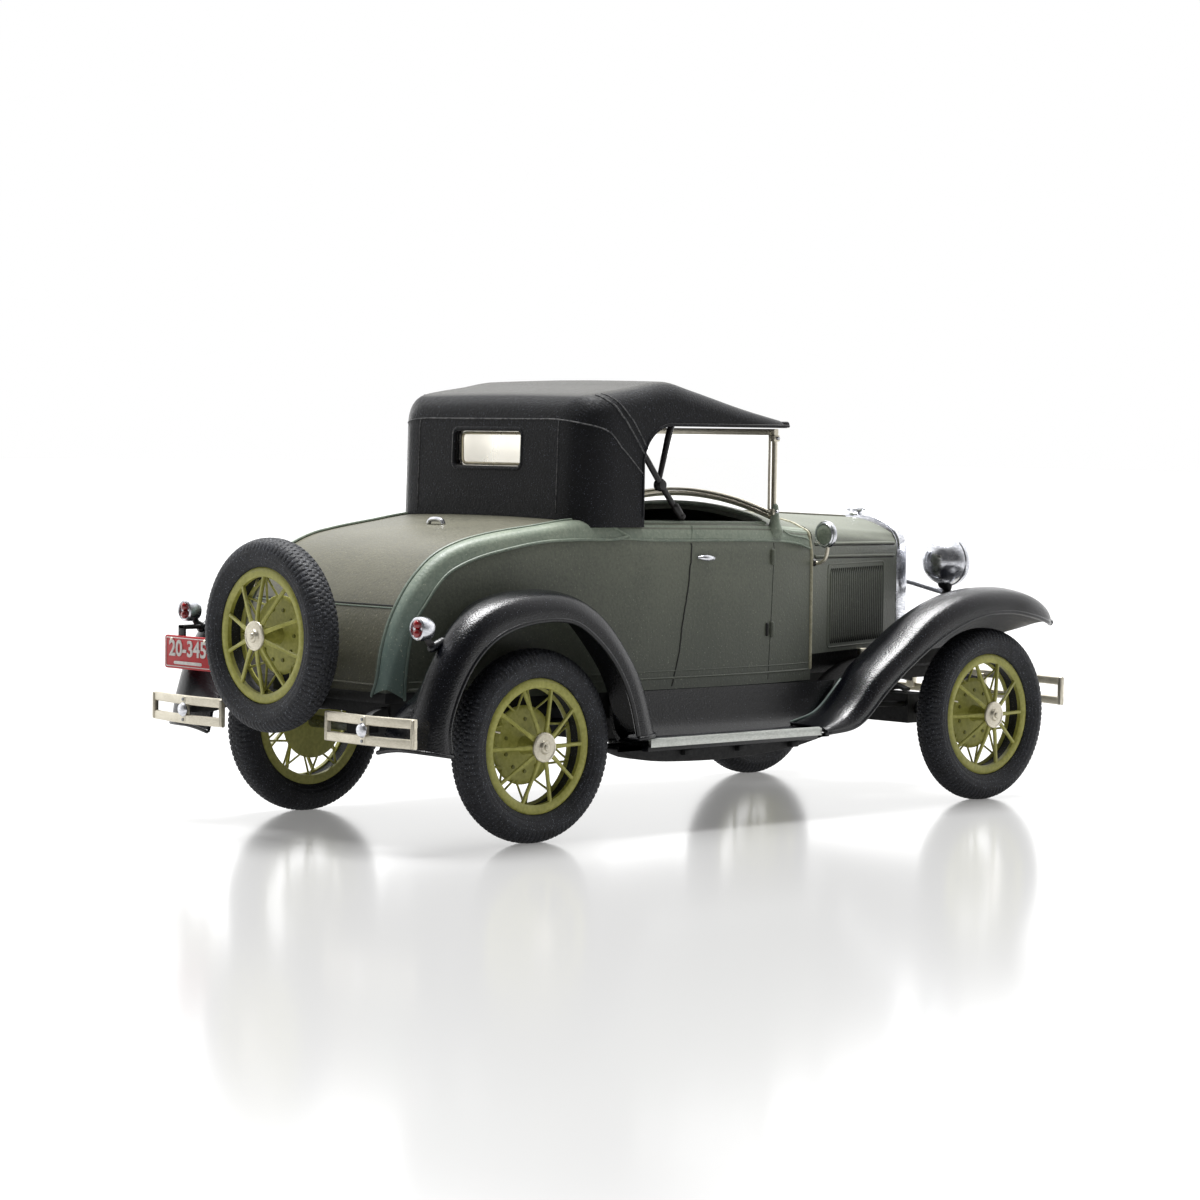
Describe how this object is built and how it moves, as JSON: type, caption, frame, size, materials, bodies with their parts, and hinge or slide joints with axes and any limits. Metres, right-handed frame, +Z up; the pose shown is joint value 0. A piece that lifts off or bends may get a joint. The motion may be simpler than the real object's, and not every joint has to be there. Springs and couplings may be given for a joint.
{
  "type": "model car",
  "caption": "Scale model of a 1930s two-seat open car with a raised soft top, spoked wheels that roll, running boards and a rear-mounted spare.",
  "frame": {"origin": "centre of the model's footprint, on the surface that the tyres stand on", "axes": "+X towards the car's own left side, +Y towards its tail, +Z up"},
  "size_m": [0.0388, 0.0936, 0.0417],
  "materials": {
    "body_paint": "satin olive grey with a fine grain",
    "fender_black": "satin black with a fine grain",
    "chassis_black": "satin black",
    "cabin_black": "matt black",
    "top_black": "matt blue-black with a pale dusty grain",
    "clear_glazing": "clear polished",
    "red_lens": "glossy translucent red",
    "plate_red": "satin red with white border and digits",
    "warm_nickel": "etched nickel, softly bright",
    "bright_plate": "polished plating",
    "screw_steel": "bare steel",
    "axle_steel": "bare steel",
    "wheel_yellow_green": "satin yellow-green",
    "tyre_rubber": "matt dark grey"
  },
  "bodies": {
    "model": {"body_shell": "body_paint", "bonnet": "body_paint", "rumble_handle": "bright_plate", "door_handle_left": "bright_plate", "door_handle_right": "bright_plate", "chassis_base": "chassis_black", "chassis_screw_front": "screw_steel", "chassis_screw_rear": "screw_steel", "cabin_tub": "cabin_black", "seat": "cabin_black", "dashboard": "cabin_black", "steering_wheel": "cabin_black", "gear_lever": "cabin_black", "windscreen_frame": "warm_nickel", "windscreen_glass": "clear_glazing", "soft_top": "top_black", "rear_window": "clear_glazing", "top_iron_left": "chassis_black", "top_iron_right": "chassis_black", "radiator_shell": "bright_plate", "radiator_grille": "chassis_black", "radiator_cap": "bright_plate", "headlamp_left": "bright_plate", "headlamp_right": "bright_plate", "headlamp_lens_left": "clear_glazing", "headlamp_lens_right": "clear_glazing", "headlamp_bar": "bright_plate", "cowl_lamp_left": "bright_plate", "cowl_lamp_right": "bright_plate", "tail_lamp_left": "bright_plate", "tail_lamp_right": "bright_plate", "tail_lens_left": "red_lens", "tail_lens_right": "red_lens", "licence_plate": "plate_red", "rear_fender_left": "fender_black", "rear_fender_right": "fender_black", "front_fender_left": "fender_black", "front_fender_right": "fender_black", "running_board_left": "fender_black", "running_board_right": "fender_black", "board_trim_left": "bright_plate", "board_trim_right": "bright_plate", "front_bumper": "warm_nickel", "rear_bumper_left": "warm_nickel", "rear_bumper_right": "warm_nickel", "spare_wheel": "wheel_yellow_green", "spare_tyre": "tyre_rubber", "spare_carrier": "chassis_black"},
    "front_wheelset": {"front_axle_pin": "axle_steel", "front_wheel_left": "wheel_yellow_green", "front_wheel_right": "wheel_yellow_green", "front_tyre_left": "tyre_rubber", "front_tyre_right": "tyre_rubber"},
    "rear_wheelset": {"rear_axle_pin": "axle_steel", "rear_wheel_left": "wheel_yellow_green", "rear_wheel_right": "wheel_yellow_green", "rear_tyre_left": "tyre_rubber", "rear_tyre_right": "tyre_rubber"}
  },
  "joints": [
    {"name": "front_wheels_roll", "type": "hinge", "parent": "model", "child": "front_wheelset", "pos_m": [0, -0.03275, 0.00869], "axis": [1, 0, 0], "continuous": true},
    {"name": "rear_wheels_roll", "type": "hinge", "parent": "model", "child": "rear_wheelset", "pos_m": [0, 0.02835, 0.00869], "axis": [1, 0, 0], "continuous": true}
  ]
}
